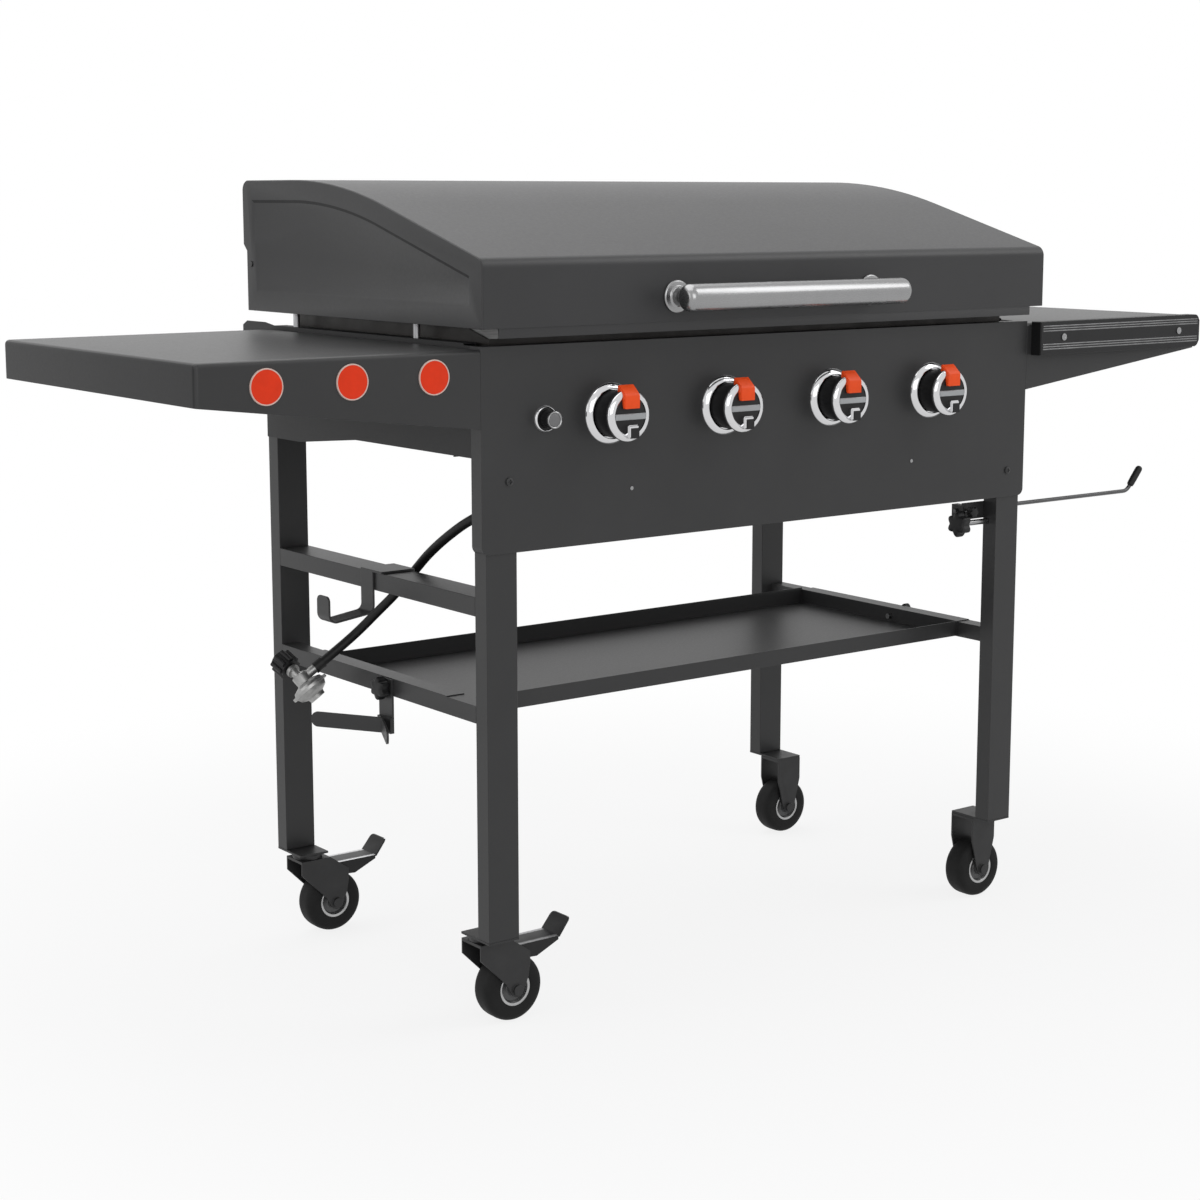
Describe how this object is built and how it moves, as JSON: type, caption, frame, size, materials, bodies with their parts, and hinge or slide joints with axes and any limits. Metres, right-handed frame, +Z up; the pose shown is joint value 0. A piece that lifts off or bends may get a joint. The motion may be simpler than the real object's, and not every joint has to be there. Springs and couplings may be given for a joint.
{
  "type": "outdoor gas griddle station",
  "caption": "Wheeled outdoor gas griddle with a hinged hood, side shelves, burner knobs, bottom shelf and gas hose.",
  "frame": {"origin": "middle of the footprint on the floor", "axes": "+X to the cook's right, +Y to the back, +Z up"},
  "size_m": [1.686, 0.678, 1.052],
  "materials": {
    "panel_coat": "fine-textured powder coat",
    "hood_coat": "satin powder coat",
    "box_coat": "matte high-heat coat",
    "sheet_steel": "mill finish",
    "plate_steel": "oiled rolled steel",
    "polished_steel": "polished",
    "zinc_plate": "zinc plated",
    "chrome_ring": "mirror",
    "brass_body": "satin",
    "regulator_cast": "as cast",
    "badge_orange": "gloss",
    "black_plastic": "fine-grained",
    "hose_rubber": "matte",
    "tyre_rubber": "matte tread over a grey hub"
  },
  "bodies": {
    "base": {"front_panel": "panel_coat", "burner_box": "box_coat", "heat_shield": "sheet_steel", "front_left_leg": "panel_coat", "front_right_leg": "panel_coat", "rear_left_leg": "panel_coat", "rear_right_leg": "panel_coat", "left_upper_crossbar": "panel_coat", "left_lower_crossbar": "panel_coat", "right_lower_crossbar": "panel_coat", "bottom_shelf": "panel_coat", "griddle_plate": "plate_steel", "left_shelf": "panel_coat", "right_shelf": "panel_coat", "tool_strip": "black_plastic", "shelf_badges": "badge_orange", "burners": "sheet_steel", "igniter_electrodes": "sheet_steel", "gas_manifold": "zinc_plate", "gas_valves": "brass_body", "knob_bezels": "chrome_ring", "igniter_housing": "black_plastic", "hinge_brackets": "panel_coat", "hood_rest_pins": "sheet_steel", "tank_hook": "panel_coat", "tank_bracket": "panel_coat", "rod_bracket": "panel_coat", "gas_hose": "hose_rubber", "regulator": "regulator_cast", "caster_plates": "zinc_plate", "fixed_forks": "zinc_plate", "fasteners": "polished_steel"},
    "hood": {"hood_shell": "hood_coat", "hood_left_end": "hood_coat", "hood_right_end": "hood_coat", "hood_handle": "polished_steel"},
    "valve_stem_1": {"valve_stem_1": "sheet_steel"},
    "control_knob_1": {"control_knob_1": "black_plastic"},
    "valve_stem_2": {"valve_stem_2": "sheet_steel"},
    "control_knob_2": {"control_knob_2": "black_plastic"},
    "valve_stem_3": {"valve_stem_3": "sheet_steel"},
    "control_knob_3": {"control_knob_3": "black_plastic"},
    "valve_stem_4": {"valve_stem_4": "sheet_steel"},
    "control_knob_4": {"control_knob_4": "black_plastic"},
    "igniter_button": {"igniter_button": "black_plastic"},
    "grease_cup": {"grease_cup": "sheet_steel"},
    "bag_rod": {"bag_rod": "polished_steel"},
    "bracket_knob": {"bracket_knob": "black_plastic"},
    "shelf_knob": {"shelf_knob": "black_plastic"},
    "rod_lock_knob": {"rod_lock_knob": "black_plastic"},
    "leg_knob": {"leg_knob": "black_plastic"},
    "regulator_nut": {"regulator_nut": "black_plastic"},
    "front_left_fork": {"front_left_fork": "zinc_plate"},
    "front_left_wheel": {"front_left_wheel": "tyre_rubber"},
    "front_left_brake": {"front_left_brake": "black_plastic"},
    "rear_left_fork": {"rear_left_fork": "zinc_plate"},
    "rear_left_wheel": {"rear_left_wheel": "tyre_rubber"},
    "rear_left_brake": {"rear_left_brake": "black_plastic"},
    "front_right_wheel": {"front_right_wheel": "tyre_rubber"},
    "rear_right_wheel": {"rear_right_wheel": "tyre_rubber"}
  },
  "joints": [
    {"name": "hood_hinge", "type": "hinge", "parent": "base", "child": "hood", "pos_m": [0, 0.281, 0.94], "axis": [-1, 0, 0], "range_deg": [0, 95]},
    {"name": "burner_1_turn", "type": "hinge", "parent": "base", "child": "valve_stem_1", "pos_m": [-0.27795, -0.279, 0.766], "axis": [0, -1, 0], "range_deg": [0, 150]},
    {"name": "burner_1_push", "type": "slide", "parent": "valve_stem_1", "child": "control_knob_1", "axis": [0, 1, 0], "range_m": [0, 0.003], "stiffness_N_per_m": 600},
    {"name": "burner_2_turn", "type": "hinge", "parent": "base", "child": "valve_stem_2", "pos_m": [-0.09265, -0.279, 0.766], "axis": [0, -1, 0], "range_deg": [0, 150]},
    {"name": "burner_2_push", "type": "slide", "parent": "valve_stem_2", "child": "control_knob_2", "axis": [0, 1, 0], "range_m": [0, 0.003], "stiffness_N_per_m": 600},
    {"name": "burner_3_turn", "type": "hinge", "parent": "base", "child": "valve_stem_3", "pos_m": [0.09265, -0.279, 0.766], "axis": [0, -1, 0], "range_deg": [0, 150]},
    {"name": "burner_3_push", "type": "slide", "parent": "valve_stem_3", "child": "control_knob_3", "axis": [0, 1, 0], "range_m": [0, 0.003], "stiffness_N_per_m": 600},
    {"name": "burner_4_turn", "type": "hinge", "parent": "base", "child": "valve_stem_4", "pos_m": [0.27795, -0.279, 0.766], "axis": [0, -1, 0], "range_deg": [0, 150]},
    {"name": "burner_4_push", "type": "slide", "parent": "valve_stem_4", "child": "control_knob_4", "axis": [0, 1, 0], "range_m": [0, 0.003], "stiffness_N_per_m": 600},
    {"name": "igniter_push", "type": "slide", "parent": "base", "child": "igniter_button", "axis": [0, 1, 0], "range_m": [0, 0.005], "stiffness_N_per_m": 400},
    {"name": "grease_cup_slide", "type": "slide", "parent": "base", "child": "grease_cup", "axis": [0, 1, 0], "range_m": [0, 0.08]},
    {"name": "bag_rod_slide", "type": "slide", "parent": "base", "child": "bag_rod", "axis": [1, 0, 0], "range_m": [-0.15, 0]},
    {"name": "bracket_knob_turn", "type": "hinge", "parent": "base", "child": "bracket_knob", "pos_m": [-0.47, -0.026, 0.404], "axis": [1, 0, 0], "continuous": true},
    {"name": "shelf_knob_turn", "type": "hinge", "parent": "base", "child": "shelf_knob", "pos_m": [0.47, -0.026, 0.396], "axis": [1, 0, 0], "continuous": true},
    {"name": "rod_lock_knob_turn", "type": "hinge", "parent": "base", "child": "rod_lock_knob", "pos_m": [0.382, -0.239, 0.585], "axis": [0, 1, 0], "continuous": true},
    {"name": "leg_knob_turn", "type": "hinge", "parent": "base", "child": "leg_knob", "pos_m": [0.371, -0.239, 0.569], "axis": [1, 0, 0], "continuous": true},
    {"name": "regulator_nut_turn", "type": "hinge", "parent": "base", "child": "regulator_nut", "pos_m": [-0.52421, 0.11759, 0.41109], "axis": [-0.2018, 0.878, 0.434], "continuous": true},
    {"name": "front_left_swivel", "type": "hinge", "parent": "base", "child": "front_left_fork", "pos_m": [-0.4405, -0.214, 0.107], "axis": [0, 0, 1], "continuous": true},
    {"name": "front_left_roll", "type": "hinge", "parent": "front_left_fork", "child": "front_left_wheel", "pos_m": [-0.4065, -0.214, 0.043], "axis": [0, 1, 0], "continuous": true},
    {"name": "front_left_brake_press", "type": "hinge", "parent": "front_left_fork", "child": "front_left_brake", "pos_m": [-0.4235, -0.214, 0.094], "axis": [0, 1, 0], "range_deg": [0, 8]},
    {"name": "rear_left_swivel", "type": "hinge", "parent": "base", "child": "rear_left_fork", "pos_m": [-0.4405, 0.233, 0.107], "axis": [0, 0, 1], "continuous": true},
    {"name": "rear_left_roll", "type": "hinge", "parent": "rear_left_fork", "child": "rear_left_wheel", "pos_m": [-0.4065, 0.233, 0.043], "axis": [0, 1, 0], "continuous": true},
    {"name": "rear_left_brake_press", "type": "hinge", "parent": "rear_left_fork", "child": "rear_left_brake", "pos_m": [-0.4235, 0.233, 0.094], "axis": [0, 1, 0], "range_deg": [0, 8]},
    {"name": "front_right_roll", "type": "hinge", "parent": "base", "child": "front_right_wheel", "pos_m": [0.4405, -0.2065, 0.043], "axis": [0, 1, 0], "continuous": true},
    {"name": "rear_right_roll", "type": "hinge", "parent": "base", "child": "rear_right_wheel", "pos_m": [0.4405, 0.2255, 0.043], "axis": [0, 1, 0], "continuous": true}
  ]
}
